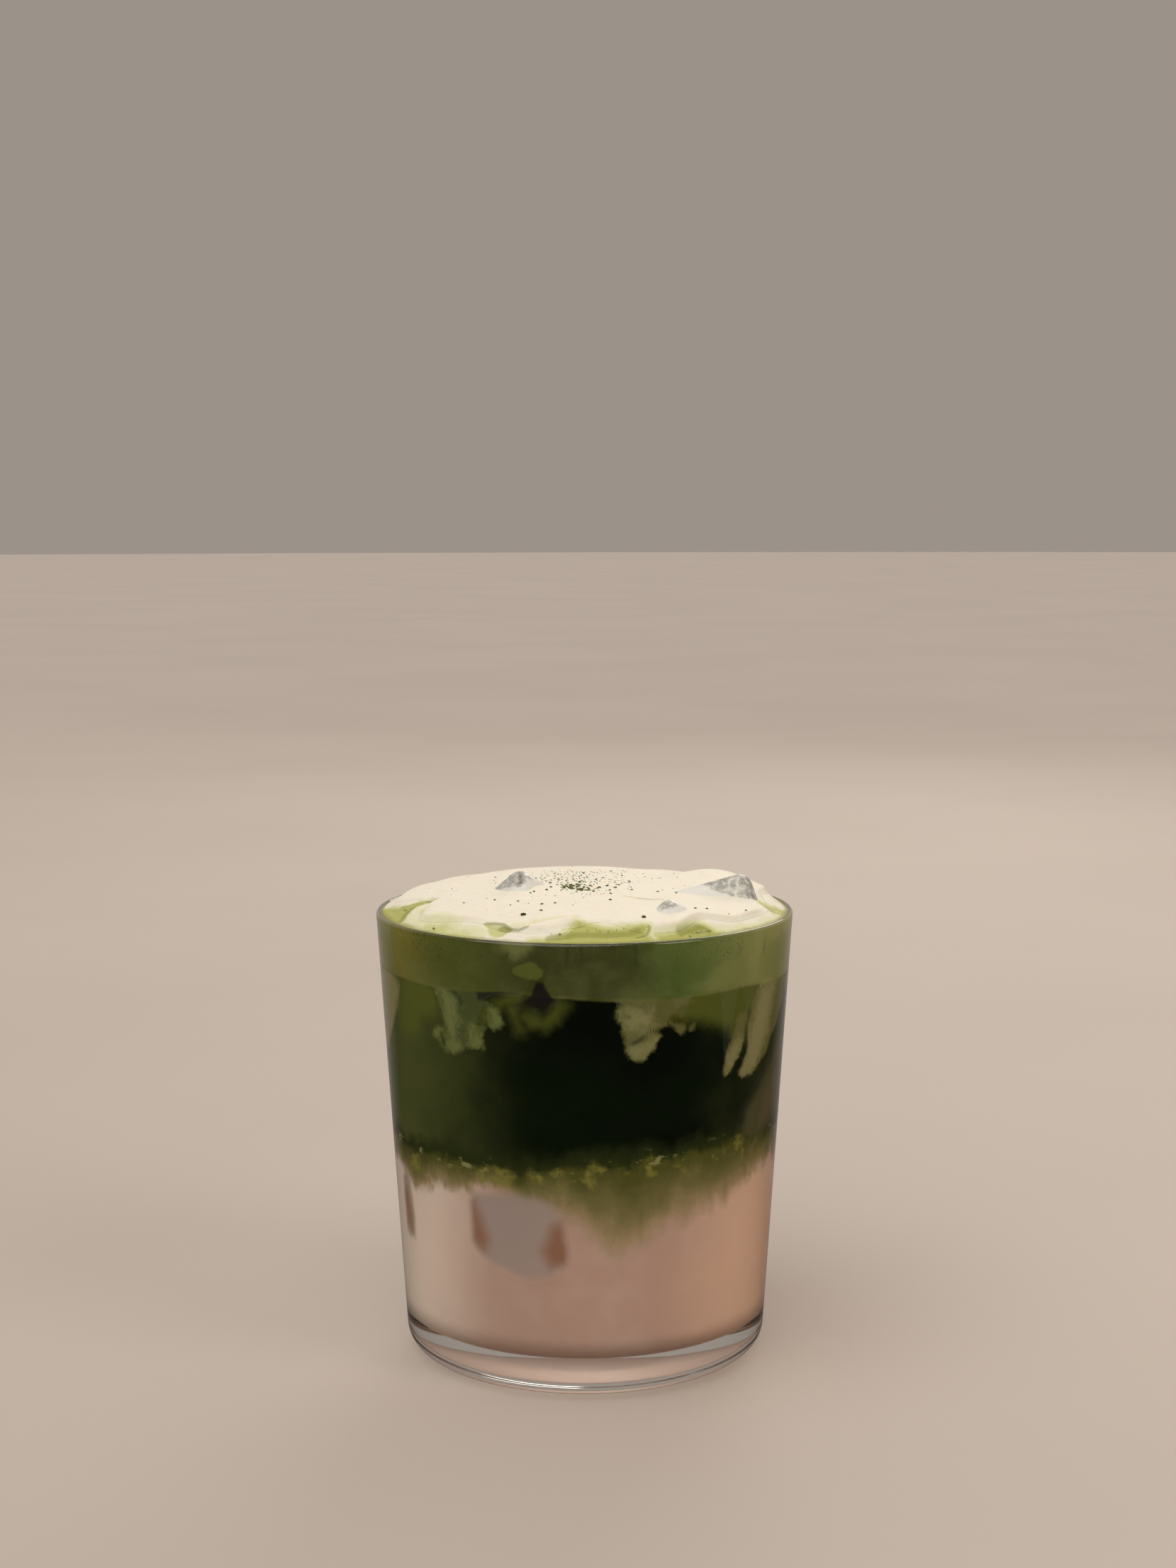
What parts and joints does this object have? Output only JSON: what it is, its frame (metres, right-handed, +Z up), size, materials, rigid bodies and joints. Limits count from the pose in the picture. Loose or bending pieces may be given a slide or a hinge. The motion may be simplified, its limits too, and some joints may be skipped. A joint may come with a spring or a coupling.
{
  "type": "iced matcha latte",
  "caption": "Plain tapered tumbler filled to the brim with cold milk, matcha, green froth and a mound of white foam, with ice cubes standing up through the foam and matcha powder on top.",
  "frame": {"origin": "centre of the glass's foot, on the surface that it stands on", "axes": "+Z up along the glass's axis; the side seen in the picture faces -Y and +X is to its right"},
  "size_m": [0.0878, 0.0878, 0.1026],
  "materials": {
    "glass": "clear, polished",
    "milk": "smooth cold milk, clouded with green near its top",
    "matcha": "dark green tea, nearly opaque",
    "green_froth": "fine bubbles, olive green",
    "white_foam": "smooth milk foam, dusted with green powder",
    "ice": "melting ice, half covered with foam"
  },
  "bodies": {
    "root": {"glass": "glass", "milk": "milk", "matcha": "matcha", "green_froth": "green_froth", "white_foam": "white_foam", "ice_back_left": "ice", "ice_back_right": "ice", "ice_front_right": "ice"}
  },
  "joints": []
}
